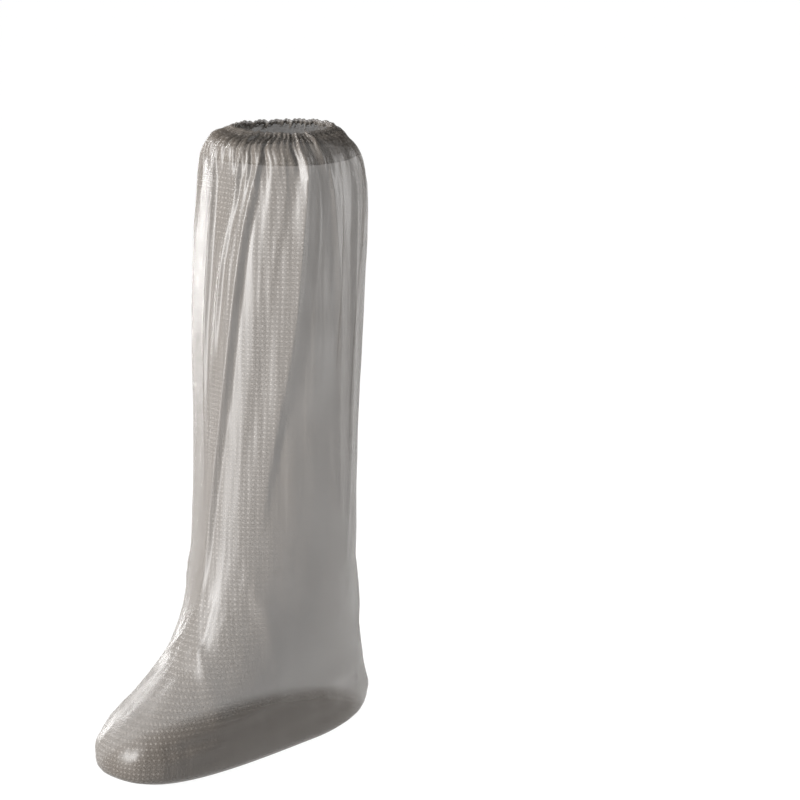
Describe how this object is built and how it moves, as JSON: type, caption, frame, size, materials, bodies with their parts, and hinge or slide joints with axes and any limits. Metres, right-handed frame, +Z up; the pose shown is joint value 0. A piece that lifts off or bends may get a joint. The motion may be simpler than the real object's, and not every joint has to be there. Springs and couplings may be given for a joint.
{
  "type": "rain shoe cover",
  "caption": "Knee-high rain shoe cover of thin translucent film, with a flat sole, a loose leg tube and an elastic gathered cuff.",
  "frame": {"origin": "middle of the cuff's opening, at the rim", "axes": "+Z up along the leg, the toe points to -Y, +X is to one side of the foot"},
  "size_m": [0.1426, 0.2747, 0.5051],
  "materials": {
    "film": "satin translucent embossed film",
    "elastic": "woven elastic"
  },
  "bodies": {
    "root": {"boot_film": "film", "elastic_band": "elastic"}
  },
  "joints": []
}
